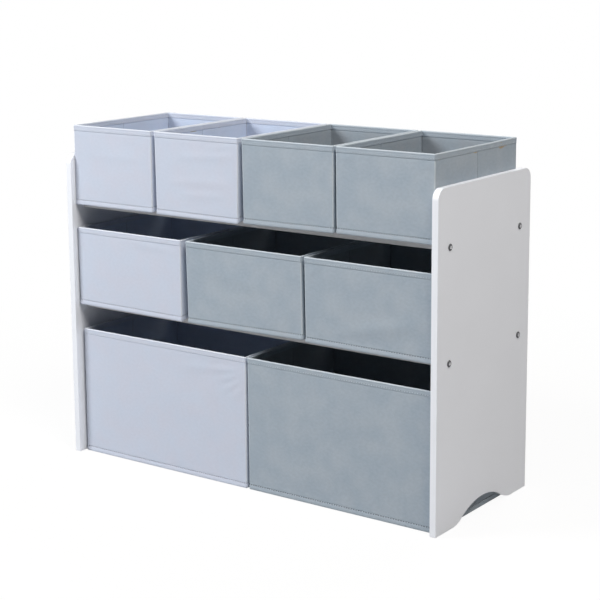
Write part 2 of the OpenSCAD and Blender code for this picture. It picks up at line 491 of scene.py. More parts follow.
class Palette:
    """Every material of the cabinet, each built once."""

    FELTS: dict[Patch, tuple[tuple[Seen, Seen, float], ...]] = {
        Patch.WALL: (((197, 206, 222), (199, 205, 220), 0.014), ((157, 170, 182), (165, 176, 186), 0.034)),
        Patch.RIM: (((200, 209, 225), (202, 208, 223), 0.016), ((161, 174, 186), (166, 177, 187), 0.034)),
        Patch.FOOT: (((198, 207, 223), (200, 206, 221), 0.016), ((164, 177, 189), (168, 178, 188), 0.034)),
        # Seam: darker than the wall, painted shade under the rim band and along its stitches.
        Patch.SEAM: (((172, 181, 197), (174, 181, 195), 0.02), ((140, 153, 163), (144, 152, 161), 0.04)),
        # Inside: the grey is darker than its wall, painted shade for the bin's inside; the light one is a
        # little bluer.
        Patch.INSIDE: (((193, 206, 226), (195, 205, 224), 0.014), ((146, 158, 168), (150, 158, 166), 0.034)),
        # Fold: darker than the wall, painted shade in the fold grooves.
        Patch.FOLD: (((148, 155, 170), (150, 155, 168), 0.03), ((116, 126, 134), (119, 125, 132), 0.04)),
        # Edge: lighter than the wall, a painted highlight on the rolled rim and the corners.
        Patch.EDGE: (((209, 216, 226), (210, 216, 225), 0.012), ((185, 196, 204), (187, 196, 203), 0.02)),
    }
    THREADS: tuple[Seen, ...] = ((229, 234, 243), (196, 207, 216))

    def __init__(self) -> None:
        """Builds the materials."""
        self.felts: dict[tuple[Cloth, Patch], bpy.types.Material] = {}
        self.thread: dict[Cloth, bpy.types.Material] = {}
        for number, cloth in enumerate(Cloth):
            dye = cloth.name.lower()
            self.thread[cloth] = ThreadFinish(f"thread_{dye}", linear(*self.THREADS[number])).build()
            for patch, tones in self.FELTS.items():
                tone, other, mottle = tones[number]
                felt = FeltFinish(f"felt_{dye}{patch.value}", linear(*tone), linear(*other), mottle)
                self.felts[cloth, patch] = felt.build()
        self.lining = FeltFinish("felt_lining", linear(155, 162, 170), linear(158, 163, 169)).build()
        self.panel = PaintFinish("panel_paint", linear(239, 243, 250)).build()
        # The bars' light grey is kept below the white of their powder coat: partly their own colour, partly
        # painted shade from the bins above them.
        self.bar = PaintFinish("bar_powder_coat", linear(204, 205, 208), 0.38, 0.03).build()
        # The socket steel is far lighter than the dark head: a painted highlight in the middle of each screw.
        self.socket = SteelFinish("socket_steel", (0.5, 0.5, 0.51)).build()
        self.screw = SteelFinish("screw_zinc", (0.075, 0.077, 0.082)).build()
        self.nylon = PlainFinish("plug_nylon", (0.035, 0.035, 0.04), 0.5, 500.0, 0.02).build()
        self.board = PlainFinish("wall_board", linear(176, 162, 138), 0.9, 700.0, 0.08).build()
        self.floor = FloorFinish("studio_floor", (0.5, 0.5, 0.5)).build()

    def cloths(self, cloth: Cloth, *patches: Patch) -> list[bpy.types.Material]:
        """Gives one cloth's materials for the patches, in their order."""
        return [self.felts[cloth, patch] for patch in patches]


class Shell:
    """Collects the vertices, faces and cloth map of one piece."""

    def __init__(self) -> None:
        """Starts with nothing."""
        self.points: list[np.ndarray] = []
        self.faces: list[tuple[int, ...]] = []
        self.chart: list[np.ndarray] = []
        self.slots: list[int] = []
        self.soft: list[bool] = []
        self.count = 0

    def sweep(
        self,
        rings: np.ndarray,
        around: np.ndarray,
        along: np.ndarray,
        slots: Sequence[int | np.ndarray] | None = None,
        looped: bool = False,
    ) -> None:
        """Adds the skin over closed rings, with a flat cap at both ends unless it loops.

        Args:
            rings: The points, as ring, place round the ring, and X, Y, Z in metres.
            around: Length round the ring at each place and back at the start, in metres.
            along: Length from ring to ring at each ring, and back at the first if looped.
            slots: The material slot of each band between rings, or one for each of its faces.
            looped: True if the last ring joins the first.
        """
        ring_count, place_count = rings.shape[:2]
        slots = slots or [0] * ring_count
        base = self.count
        self.points.append(rings.reshape(-1, 3))
        self.count += ring_count * place_count
        places = np.arange(place_count)
        after = (places + 1) % place_count
        sides = (around[:-1], around[1:], around[1:], around[:-1])
        for ring in range(ring_count if looped else ring_count - 1):
            low = base + ring * place_count
            high = base + ((ring + 1) % ring_count) * place_count
            quads = np.stack([low + places, low + after, high + after, high + places], 1)
            self.faces += [tuple(quad) for quad in quads.tolist()]
            ends = along[[ring, ring, ring + 1, ring + 1]]
            corners = [np.column_stack([side, np.full(place_count, end)]) for side, end in zip(sides, ends)]
            self.chart.append(np.stack(corners, 1).reshape(-1, 2))
            self.slots += np.broadcast_to(slots[ring], place_count).tolist()
            self.soft += [True] * place_count
        if looped:
            return
        for ring, order in ((0, -1), (ring_count - 1, 1)):
            cap = (base + ring * place_count + places)[::order]
            self.faces.append(tuple(cap.tolist()))
            self.chart.append(rings[ring][::order, :2])
            self.slots.append(int(np.broadcast_to(slots[0 if ring == 0 else -1], place_count)[0]))
            self.soft.append(False)

    def finish(self, name: str, materials: Iterable[bpy.types.Material]) -> bpy.types.Object:
        """Makes the piece.

        Args:
            name: The piece's name.
            materials: Its materials, in the order of the slots.

        Returns:
            The object, at the origin, with its place in its mesh.
        """
        mesh = bpy.data.meshes.new(name)
        mesh.from_pydata(np.concatenate(self.points).tolist(), [], self.faces)
        chart = mesh.uv_layers.new(name="cloth")
        chart.data.foreach_set("uv", np.concatenate(self.chart).astype(np.float32).ravel())
        mesh.polygons.foreach_set("material_index", self.slots)
        mesh.polygons.foreach_set("use_smooth", self.soft)
        for material in materials:
            mesh.materials.append(material)
        mesh.update()
        return stand(name, mesh)


@dataclass
class Outline:
    """A rectangle with round corners, seen from above, as places with a way out of the wall.

    All sizes are in millimetres, and the outline runs from the front left corner along the front.
    """

    half_width: float
    half_depth: float
    corner: float
    step: float
    folds: bool = False
    corner_steps: int = 5
    fold_marks: tuple[float, ...] = (-9, -5, -3, -2.1, -1.5, -0.9, -0.45, 0, 0.45, 0.9, 1.5, 2.1, 3, 5, 9)
    end_marks: tuple[float, ...] = (1.0, 2.5)
    clear_end: float = 4.0
    clear_fold: float = 11.0
    coarse: float = 12.0
    seam_reach: float = 0.9

    def __post_init__(self) -> None:
        """Works out each place's anchor, way out and wall, and how far it is from a fold and an end."""
        rows: list[tuple[float, ...]] = []
        run = 0.0
        quarter = math.pi / 2
        sides = (
            (Wall.FRONT, (-1, -1), (1, 0), self.half_width),
            (Wall.RIGHT, (1, -1), (0, 1), self.half_depth),
            (Wall.BACK, (1, 1), (-1, 0), self.half_width),
            (Wall.LEFT, (-1, 1), (0, -1), self.half_depth),
        )
        for wall, start, heading, half in sides:
            length = 2 * (half - self.corner)
            folded = self.folds and wall in (Wall.LEFT, Wall.RIGHT)
            way = np.array([heading[1], -heading[0]], float)
            begin = np.array(
                [start[0] * (self.half_width - self.corner), start[1] * (self.half_depth - self.corner)]
            )
            for mark in self.marks(length, folded):
                spot = begin + np.array(heading) * mark + way * self.corner
                fold = mark - length / 2 if folded else FAR
                edge = min(mark, length - mark)
                rows.append((*spot, *way, 0.0, wall.value, mark / length, fold, run + mark, edge))
            run += length
            centre = begin + np.array(heading) * length
            for count in range(self.corner_steps + 1):
                turn = count / self.corner_steps
                angle = math.atan2(way[1], way[0]) + turn * quarter
                there = run + turn * self.corner * quarter
                way_out = (math.cos(angle), math.sin(angle))
                rows.append((*centre, *way_out, self.corner, wall.value, 1.0, FAR, there, 0.0))
            run += self.corner * quarter
        table = np.array(rows).T
        self.anchors, self.ways = table[:2].T, table[2:4].T
        self.reach, self.walls, self.share, self.fold, travelled, self.edge = table[4:]
        self.travelled = np.append(travelled, run)
        self.count = len(rows)

    def marks(self, length: float, folded: bool) -> list[float]:
        """Chooses the places along one straight side, closer near its ends and its fold.

        Args:
            length: The side's length.
            folded: True if it has a fold in its middle.

        Returns:
            The places, as lengths from the side's start.
        """
        count = max(round(length / self.step), 2)
        ends = self.clear_end
        marks = [mark for mark in np.linspace(0, length, count + 1) if ends < mark < length - ends]
        if self.step < self.coarse:
            marks += [*self.end_marks, *(length - mark for mark in self.end_marks)]
        if folded:
            marks = [mark for mark in marks if abs(mark - length / 2) > self.clear_fold]
            marks += [length / 2 + mark for mark in self.fold_marks]
        return sorted(marks)

    def stitched(self, corners: bool) -> np.ndarray:
        """Finds the faces along the stitched lines.

        Args:
            corners: True to take the lines in the corners too.

        Returns:
            True for each face on a line, from each place to the next.
        """
        # These faces take the darker fold felt: painted shade along the folds and, inside, along the corners.
        near = np.abs(self.fold) <= self.seam_reach
        if corners:
            near |= self.edge <= self.seam_reach + 0.1
        return near & np.roll(near, -1)

    def turning(self) -> np.ndarray:
        """Finds the faces that go round the corners."""
        # These faces take the lighter edge felt: a painted highlight round the corners.
        corner = self.edge <= 0
        return corner & np.roll(corner, -1)

    def at(self, out: float | np.ndarray, least: float = 0.3) -> np.ndarray:
        """Places the outline a distance outside its own line.

        Args:
            out: How far outside, negative for inside, one number or one for each place.
            least: The smallest radius that a corner keeps.

        Returns:
            X and Y for each place.
        """
        radius = self.reach + np.broadcast_to(np.asarray(out, float), (self.count,))
        tight = (self.reach > 0) & (radius < least)
        pulled = np.where(tight, least - radius, 0.0)[:, None] * np.sign(self.anchors)
        radius = np.where(tight, least, radius)
        return self.anchors - pulled + self.ways * radius[:, None]

    def ring(self, out: float | np.ndarray, height: float, least: float = 0.3) -> np.ndarray:
        """Places the outline a distance outside its own line at a height, as X, Y and Z."""
        return np.column_stack([self.at(out, least), np.full(self.count, height)])


@dataclass(frozen=True)
class Crease:
    """One soft ridge in the front of a bin, from one point to another.

    Points are shares of the wall's width from the left and of its height from the foot.
    """

    start: tuple[float, float]
    end: tuple[float, float]
    height: float
    width: float
    fade_in: float = 0.12
    hollow: float = 0.3
    hollow_reach: float = 2.2

    def lift(self, place: np.ndarray, size: np.ndarray) -> np.ndarray:
        """Finds how far the ridge lifts the cloth.

        Args:
            place: Places across and up, in millimetres.
            size: The wall's width and height, in millimetres.

        Returns:
            The lift at each place, in millimetres.
        """
        start, end = np.array(self.start) * size, np.array(self.end) * size
        run = end - start
        share = np.clip((place - start) @ run / (run @ run), 0, 1)
        gap = np.linalg.norm(place - start - share[:, None] * run, axis=1)
        taper = np.sin(np.pi * np.clip(self.fade_in + (1 - self.fade_in) * share, 0, 1)) ** 0.8
        ridge = np.exp(-((gap / self.width) ** 2))
        hollow = np.exp(-((gap / self.width / self.hollow_reach) ** 2))
        return self.height * taper * (ridge - self.hollow * hollow)


@dataclass(frozen=True)
class Stance:
    """How one bin stands: how far its walls lie from the cut shape, in millimetres, X to the right."""

    rim_left: float = 0.0
    rim_right: float = 0.0
    foot_left: float = 0.0
    foot_right: float = 0.0
    back: float = 0.4
    bulge_left: float = 1.2
    bulge_right: float = 1.2
    bow: float = 0.6
    ripple: float = 0.22
    sag_left: float = 0.0
    sag_right: float = 0.0
    creases: tuple[Crease, ...] = ()


@dataclass(frozen=True)
class Sewing:
    """How every bin is sewn, in millimetres."""

    fabric: float = 0.6
    wall: float = 3.0
    band: float = 0.5
    corner: float = 1.9
    crease: float = 0.85
    crease_reach: float = 1.8
    board: float = 1.6
    play: float = 0.1
    pocket_floor: float = 3.0
    pocket_top: float = 1.6
    cut: float = 1.3
    lip: float = 0.3
    floor: float = 1.2
    fold_width: float = 3.0
    rim_height: float = 10.7
    foot_height: float = 8.6
    stitch_pitch: float = 5.2
    stitch_length: float = 3.0
    thread: float = 0.7
    looseness: float = 0.05
    rim_seam: float = 8.3
    inner_seam: float = 3.4
    foot_seam: float = 9.4
    outer_lie: float = 0.36
    inner_lie: float = 0.5
    foot_lie: float = 0.15
    # How far either side of the rim's stitch row the painted shade reaches.
    needle_reach: float = 0.5
    # Also how far down the rolled edge's painted highlight reaches.
    roll: float = 1.6
    pucker: float = 0.8
    drawn_in: float = 0.5

    def foot_profile(self) -> list[tuple[float, float]]:
        """The band round the foot, as height and distance outside the wall, from the underside up."""
        top = self.foot_height
        return [
            (0.0, -3.0), (0.0, -1.0), (0.15, -0.2), (0.6, 0.35), (1.4, 0.66), (3.0, 0.85), (4.6, 0.85),
            (5.8, 0.74), (6.8, 0.6), (top - 0.8, 0.55), (top - 0.15, 0.5), (top, 0.25), (top + 0.1, -0.25),
            (top + 0.8, -0.45), (top + 1.5, -0.3), (top + 1.9, -0.12), (top + 2.6, 0.0),
        ]

    def rim_profile(self) -> list[tuple[float, float]]:
        """The outer half of the rim band, as depth under the rim and distance outside, from its edge up."""
        return [
            (10.7, 0.05), (10.76, 0.16), (10.62, 0.26), (10.1, 0.36), (9.4, 0.42), (8.8, 0.38), (8.3, 0.28),
            (7.8, 0.38), (7.0, 0.45), (5.6, 0.48), (4.6, 0.45), (4.0, 0.42), (3.5, 0.5), (3.0, 0.68),
            (2.35, 0.8), (1.45, 0.64), (0.9, 0.35), (0.45, -0.1), (0.12, -0.75),
        ]


@dataclass(frozen=True)
class Drape:
    """Where the cloth moves and where it is held, in millimetres or as shares of the bin's height.

    A pair is where the cloth is still held, and where it is free.
    """

    overhang: float = 21.5
    stiff_foot: float = 0.35
    sag_curve: float = 1.2
    sag_depths: tuple[float, float] = (1.2, 2.8)
    sag_heights: tuple[float, float] = (0.1, 0.9)
    calm_foot: float = 22.0
    calm_rim: float = 24.0
    calm_ends: tuple[float, float] = (2.0, 22.0)
    calm_fold: tuple[float, float] = (1.5, 14.0)
    crease_ends: tuple[float, float] = (0.0, 6.0)
    pucker_ends: tuple[float, float] = (1.0, 14.0)
    front_pucker: float = 0.5
    pucker_seed: int = 400
    pucker_waves: tuple[float, float, int] = (14.0, 70.0, 14)


class Ripples:
    """A seeded field of low, long waves, for cloth that isn't quite flat."""

    def __init__(self, seed: int, shortest: float = 38.0, longest: float = 150.0, waves: int = 16) -> None:
        """Chooses the waves.

        Args:
            seed: The seed.
            shortest: The shortest wave, in millimetres.
            longest: The longest.
            waves: How many there are.
        """
        random = np.random.default_rng(seed)
        length = shortest * (longest / shortest) ** random.random(waves)
        angle = random.random(waves) * math.pi
        self.across = 2 * math.pi / length * np.cos(angle)
        self.up = 2 * math.pi / length * np.sin(angle)
        self.phase = random.random(waves) * 2 * math.pi
        self.share = (length / longest) ** 0.7 / math.sqrt(waves)

    def height(self, across: np.ndarray, up: float) -> np.ndarray:
        """Gives the height of the field.

        Args:
            across: Places across, in millimetres.
            up: How far up they are, in millimetres.

        Returns:
            The height at each place, mostly within -1 and 1.
        """
        total = np.zeros(across.shape)
        for wave_across, wave_up, phase, share in zip(self.across, self.up, self.phase, self.share):
            total += share * np.sin(wave_across * across + wave_up * up + phase)
        return total


class NodeGraph(Graph):
    """A Geometry Nodes tree with named inputs."""

    def __init__(self, name: str) -> None:
        """Starts a tree that takes and gives geometry.

        Args:
            name: The tree's name.
        """
        super().__init__(bpy.data.node_groups.new(name, "GeometryNodeTree"))
        for way in ("INPUT", "OUTPUT"):
            self.tree.interface.new_socket("Geometry", in_out=way, socket_type="NodeSocketGeometry")
        self.start = self.add("NodeGroupInput")
        self.end = self.add("NodeGroupOutput")
        self.names: dict[str, str] = {}

    def ask(self, name: str, kind: str = "NodeSocketFloat") -> Socket:
        """Adds a named input.

        Args:
            name: Its name.
            kind: Its socket type.

        Returns:
            The socket that gives the value inside the tree.
        """
        item = self.tree.interface.new_socket(name, in_out="INPUT", socket_type=kind)
        self.names[name] = item.identifier
        return next(socket for socket in self.start.outputs if socket.identifier == item.identifier)

    def carried(self, name: str, kind: str) -> Socket:
        """Gives the named attribute that the mesh carries."""
        return self.get("GeometryNodeInputNamedAttribute", {0: name}, data_type=kind)

    def copies(self, points: Socket, shape: Socket, standing: Socket, turns: dict[Any, Any]) -> Socket:
        """Sets a copy of a shape at each point and makes the copies real.

        Args:
            points: Where the copies stand.
            shape: What is copied.
            standing: How each copy stands.
            turns: The least and the largest further turn, and the seed of the draw between them.

        Returns:
            The copies.
        """
        turn = self.get("FunctionNodeRandomValue", turns, data_type="FLOAT_VECTOR")
        further = self.get("FunctionNodeEulerToRotation", {0: turn})
        both = {"Rotation": standing, "Rotate By": further}
        turned = self.get("FunctionNodeRotateRotation", both, rotation_space="LOCAL")
        inputs = {"Points": points, "Instance": shape, "Rotation": turned}
        placed = self.get("GeometryNodeInstanceOnPoints", inputs)
        return self.get("GeometryNodeRealizeInstances", {0: placed})

    def dress(self, geometry: Socket, material: Socket, **chosen: Socket) -> Socket:
        """Gives the geometry a material, all of it or the Selection."""
        return self.get("GeometryNodeSetMaterial", {"Geometry": geometry, "Material": material, **chosen})

    def run(self, name: str, mesh: bpy.types.Mesh, values: dict[str, Any]) -> bpy.types.Object:
        """Runs the tree on a mesh and keeps the result as a plain mesh.

        Args:
            name: The new piece's name.
            mesh: The mesh that the tree starts from.
            values: A value for each named input.

        Returns:
            The piece.
        """
        piece = stand(name, mesh)
        modifier = piece.modifiers.new(self.tree.name, "NODES")
        modifier.node_group = self.tree
        for key, value in values.items():
            modifier[self.names[key]] = value
        graph = bpy.context.evaluated_depsgraph_get()
        result = bpy.data.meshes.new_from_object(piece.evaluated_get(graph), depsgraph=graph)
        result.name = name
        piece.modifiers.clear()
        piece.data = result
        bpy.data.meshes.remove(mesh)
        return piece


class StitchGraph(NodeGraph):
    """Lays stitches end to end along lines that carry the way out of the cloth."""

    def __init__(self) -> None:
        """Builds the tree."""
        super().__init__("stitch_run")
        pitch, length, thread, loose = (
            self.ask(name) for name in ("Pitch", "Stitch length", "Thread radius", "Looseness")
        )
        seed = self.ask("Seed", "NodeSocketInt")
        material = self.ask("Thread", "NodeSocketMaterial")
        line = self.get("GeometryNodeMeshToCurve", {0: self.start.outputs[0]})
        spaced = self.get("GeometryNodeResampleCurve", {0: line, "Length": pitch}, mode="LENGTH")
        ball = self.get("GeometryNodeMeshUVSphere", {"Segments": 6, "Rings": 3, "Radius": 1.0})
        half = self.calc("MULTIPLY", length, 0.5)
        size = self.get("ShaderNodeCombineXYZ", {0: thread, 1: thread, 2: half})
        laid = {"Geometry": ball, "Scale": size, "Rotation": (0.0, math.pi / 2, 0.0)}
        stitch = self.get("GeometryNodeSetShadeSmooth", {0: self.get("GeometryNodeTransform", laid)})
        tangent = self.get("GeometryNodeInputTangent")
        lie = self.get("FunctionNodeAlignRotationToVector", {"Vector": tangent}, axis="X")
        out = {"Rotation": lie, "Vector": self.carried("out", "FLOAT_VECTOR")}
        standing = self.get("FunctionNodeAlignRotationToVector", out, axis="Z", pivot_axis="X")
        less = self.calc("MULTIPLY", loose, -1.0)
        low, high = (self.get("ShaderNodeCombineXYZ", {1: turn, 2: turn}) for turn in (less, loose))
        real = self.copies(spaced, stitch, standing, {0: low, 1: high, "Seed": seed})
        self.feed(self.end.inputs[0], self.dress(real, material))


class ScrewGraph(NodeGraph):
    """Sets a copy of the screw at each point, along the way out that the point carries."""

    def __init__(self) -> None:
        """Builds the tree."""
        super().__init__("screw_set")
        screw = self.ask("Screw", "NodeSocketObject")
        seed = self.ask("Seed", "NodeSocketInt")
        steel = self.ask("Steel", "NodeSocketMaterial")
        bright = self.ask("Socket steel", "NodeSocketMaterial")
        shape = self.add("GeometryNodeObjectInfo", {"Object": screw}).outputs["Geometry"]
        out = self.carried("out", "FLOAT_VECTOR")
        standing = self.get("FunctionNodeAlignRotationToVector", {"Vector": out}, axis="Z")
        turns = {0: (0.0, 0.0, 0.0), 1: (0.0, 0.0, math.pi / 3), "Seed": seed}
        real = self.copies(self.start.outputs[0], shape, standing, turns)
        dark = self.dress(real, steel)
        # The socket faces take the lighter steel: a painted highlight in the middle of each head.
        dressed = self.dress(dark, bright, Selection=self.carried("socket", "BOOLEAN"))
        self.feed(self.end.inputs[0], dressed)


def line_mesh(name: str, lines: Sequence[tuple[np.ndarray, np.ndarray, bool]]) -> bpy.types.Mesh:
    """Makes a mesh of lines whose points carry a way out.

    Args:
        name: The mesh's name.
        lines: For each line its points in metres, the way out at each, and True if it closes.

    Returns:
        The mesh.
    """
    edges: list[tuple[int, int]] = []
    base = 0
    for places, _, closed in lines:
        last = base + len(places) - 1
        edges += [(start, start + 1) for start in range(base, last)]
        edges += [(last, base)] if closed else []
        base = last + 1
    mesh = bpy.data.meshes.new(name)
    mesh.from_pydata(np.concatenate([places for places, _, _ in lines]).tolist(), edges, [])
    out = mesh.attributes.new("out", "FLOAT_VECTOR", "POINT")
    ways = np.concatenate([ways for _, ways, _ in lines])
    out.data.foreach_set("vector", ways.astype(np.float32).ravel())
    return mesh


class Station(NamedTuple):
    """One ring of a bin's cover, in millimetres, and the material slot of the band above it."""

    height: float
    out: float
    fold: float = 0.0
    wrinkled: float = 0.0
    slot: Any = CoverSlot.WALL


@dataclass
class FeltBin:
    """One sewn bin: its cover, rim band, stitches, wall boards and loose base board."""

    name: str
    cloth: Cloth
    stance: Stance
    seed: int
    palette: Palette
    stitches: StitchGraph
    # True gives the foot its own hem tone and paints shade on the line under the rim band; False gives the
    # foot the rim tone and paints no shade line.
    bright_hem_and_seam_shade: bool = True
    sewing: Sewing = field(default_factory=Sewing)
    drape: Drape = field(default_factory=Drape)
    step: float = 5.0

    def __post_init__(self) -> None:
        """Takes the bin's size and place from its CAD nodes."""
        low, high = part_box(f"{self.name}_cover")
        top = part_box(f"{self.name}_rim_band")[1].z
        self.middle = np.array([(low.x + high.x) / 2, (low.y + high.y) / 2, low.z])
        self.half_width = (high.x - low.x) / 2 / MM - self.sewing.band
        self.half_depth = (high.y - low.y) / 2 / MM - self.sewing.band
        self.height = (top - low.z) / MM
        self.outline = Outline(self.half_width, self.half_depth, self.sewing.corner, self.step, folds=True)
        seeds = [self.seed * 4 + wall.value for wall in Wall]
        self.ripples = [Ripples(seed) for seed in seeds]
        waves = self.drape.pucker_waves
        self.puckers = [Ripples(self.drape.pucker_seed + seed, *waves) for seed in seeds]

    def settle(self, points: np.ndarray, stiff: bool = False) -> np.ndarray:
        """Moves points of the cut shape to where the standing bin holds them.

        Args:
            points: Points in millimetres from the middle of the bin's underside.
            stiff: True for a board, which doesn't sag in front of the bar as the cloth's foot does.

        Returns:
            The points in metres, in the cabinet's frame.
        """
        x, y, z = points[..., 0], points[..., 1], points[..., 2]
        across = np.clip(x / self.half_width, -1, 1)
        deep = np.clip(y / self.half_depth, -1, 1)
        up = np.clip(z / self.height, 0, 1)
        s, drape = self.stance, self.drape
        left = s.foot_left + (s.rim_left - s.foot_left) * up
        right = s.foot_right + (s.rim_right - s.foot_right) * up
        share = (across + 1) / 2
        front = s.back + (1 - s.back) * (1 - deep) / 2
        sideways = (left * (1 - share) + right * share) * front
        free, least = 1 - drape.stiff_foot, drape.stiff_foot
        kink = (1 - np.abs(deep)) * (least + free * up)
        sideways = sideways + kink * np.where(
            across < 0, -s.bulge_left * np.abs(across) ** 3, s.bulge_right * np.abs(across) ** 3
        )
        belly = s.bow * (1 - across**2) * (least + free * np.sin(np.pi * up))
        inwards = belly * (deep**3)
        if not stiff:
            inset = np.minimum(self.half_width - np.abs(x), self.half_depth - np.abs(y))
            ahead = np.clip((drape.overhang - self.half_depth - y) / drape.overhang, 0, 1) ** drape.sag_curve
            skin = (1 - smooth(*drape.sag_depths, inset)) * (1 - smooth(*drape.sag_heights, up))
            z = z - (s.sag_left * (1 - share) + s.sag_right * share) * ahead * skin
        return self.middle + np.stack([x + sideways, y + inwards, z], -1) * MM

    def wrinkle(self, height: float) -> np.ndarray:
        """Finds how far the cloth stands out of its wall along one ring, from ripples and creases.

        Args:
            height: The ring's height, in millimetres.

        Returns:
            The distance at each place of the outline, in millimetres.
        """
        line, drape, foot = self.outline, self.drape, self.sewing.foot_height
        rim = self.height - self.sewing.rim_height
        calm = smooth(foot, foot + drape.calm_foot, height) * (1 - smooth(rim - drape.calm_rim, rim, height))
        size = np.array([2 * self.half_width, self.height])
        out = np.zeros(line.count)
        for wall in Wall:
            mine = line.walls == wall.value
            width = 2 * (self.half_width if wall in (Wall.FRONT, Wall.BACK) else self.half_depth)
            waves = self.ripples[wall.value].height(line.share[mine] * width, height)
            out[mine] = self.stance.ripple * waves
        out *= calm * (smooth(*drape.calm_ends, line.edge) * smooth(*drape.calm_fold, np.abs(line.fold)))
        front = (line.walls == Wall.FRONT.value) & (line.edge > 0)
        place = np.stack([line.share[front] * size[0], np.full(front.sum(), height)], 1)
        for crease in self.stance.creases:
            out[front] += crease.lift(place, size) * smooth(*drape.crease_ends, line.edge[front])
        return out

    def puckered(self, height: float) -> np.ndarray:
        """Finds how far the sewing draws the rim in and out along one ring.

        Args:
            height: The ring's height, in millimetres.

        Returns:
            The distance at each place of the outline, in millimetres.
        """
        line, sew, drape = self.outline, self.sewing, self.drape
        share = smooth(self.height - 3 * sew.rim_height, self.height - sew.roll, height)
        out = np.zeros(line.count)
        if not share:
            return out
        for wall in Wall:
            mine = line.walls == wall.value
            waves = self.puckers[wall.value].height(line.travelled[:-1][mine], 0.0)
            facing = wall in (Wall.FRONT, Wall.BACK)
            out[mine] = waves * drape.front_pucker if facing else waves - sew.drawn_in
        return sew.pucker * share * out * smooth(*drape.pucker_ends, line.edge)

    def ring(self, height: float, out: float, fold: float = 0.0, wrinkled: float = 0.0) -> np.ndarray:
        """Makes one ring of cloth.

        Args:
            height: Its height in millimetres.
            out: How far outside the wall it lies.
            fold: How deep the crease at the fold is, negative for one that stands out.
            wrinkled: The share of the wrinkles that it takes.

        Returns:
            The ring's points, settled, in metres.
        """
        groove = np.clip(1 - np.abs(self.outline.fold) / self.sewing.crease_reach, 0, 1)
        distance = out - fold * groove
        if wrinkled:
            distance = distance + wrinkled * self.wrinkle(height)
        return self.settle(self.outline.ring(distance + self.puckered(height), height))

    def stations(self) -> list[Station]:
        """Lists the cover's rings: up the outside, down and up in the pockets, and down the inside.

        Returns:
            The rings in their order.
        """
        sew, top = self.sewing, self.height
        crease, wall, foot = sew.crease, sew.wall, sew.foot_height
        under, cut, lip = top - sew.rim_height, top - sew.cut, top - sew.cut + sew.lip
        slot = CoverSlot
        # Faces round the outer corners take the lighter edge felt: a painted highlight.
        turning = np.where(self.outline.turning(), slot.CORNER, slot.WALL)
        # Faces along the folds, and inside along the corners too, take the darker fold felt: painted shade.
        outside = np.where(self.outline.stitched(False), slot.FOLD, turning)
        inside = np.where(self.outline.stitched(True), slot.FOLD, slot.INSIDE)
        rings = []
        for z, out in sew.foot_profile():
            # The groove above the foot hem takes the darker fold felt: painted shade.
            groove = slot.FOLD if z < foot + 1.6 else slot.WALL
            rings.append(Station(z, out, crease * 0.3, 0.0, slot.HEM if z <= foot else groove))
        body = levels(foot + 3.4, under - 2.2, self.step)
        rings += [Station(z, 0.0, crease, 1.0, outside) for z in body]
        rings += [
            Station(under - 1.4, -0.05, crease, 0.0, outside),
            Station(under - 0.8, -0.2, crease),
            # The band just under the rim takes the darker seam felt: painted shade under the band.
            Station(under - 0.1, -0.18, crease * 0.5, 0.0, slot.SEAM if self.bright_hem_and_seam_shade else slot.WALL),
            Station(under + 0.5, 0.0, crease * 0.5),
            Station(cut, 0.0, crease * 0.3),
            Station(lip, -sew.lip),
            Station(cut, -sew.fabric, crease * 0.3),
        ]
        pocket = levels(sew.pocket_floor, top - sew.pocket_top, 25.0)
        rings += [Station(z, -sew.fabric, crease, 0.7) for z in reversed(pocket)]
        rings += [Station(z, sew.fabric - wall, -crease, 0.7) for z in pocket]
        rings += [
            Station(cut, sew.fabric - wall, -crease * 0.3),
            Station(lip, sew.lip - wall),
            # The inner layer takes the inside felt, darker for the grey bins: painted shade.
            Station(cut, -wall, -crease * 0.3, 0.0, slot.INSIDE),
            Station(under + 0.5, -wall, -crease * 0.5, 0.0, slot.INSIDE),
            Station(under - 0.1, 0.3 - wall, -crease, 0.0, inside),
            Station(under - 0.8, 0.4 - wall, -crease, 0.0, inside),
            Station(under - 1.4, 0.15 - wall, -crease, 0.0, inside),
        ]
        inner = levels(10.0, under - 2.2, self.step * 1.6)
        rings += [Station(z, -wall, -crease, 0.8, inside) for z in reversed(inner)]
        rings += [Station(z, -wall, -crease * 0.4, 0.0, slot.INSIDE) for z in (5.0, 2.4)]
        floor = ((1.6, -wall - 0.25), (sew.floor, -wall - 0.9))
        rings += [Station(z, out, slot=slot.INSIDE) for z, out in floor]
        return rings

    def cover(self) -> bpy.types.Object:
        """Sews the cover: foot band, outer layer, pockets, inner layer and floor.

        Returns:
            The piece.
        """
        stations = self.stations()
        rings = np.stack([self.ring(*station[:4]) for station in stations])
        along = lengths(np.array([station[:2] for station in stations]))
        shell = Shell()
        shell.sweep(rings, self.outline.travelled * MM, along, [station.slot for station in stations[1:]])
        hem = Patch.FOOT if self.bright_hem_and_seam_shade else Patch.RIM
        patches = (Patch.WALL, hem, Patch.SEAM, Patch.INSIDE, Patch.FOLD, Patch.EDGE)
        return shell.finish(f"{self.name}_felt", self.palette.cloths(self.cloth, *patches))

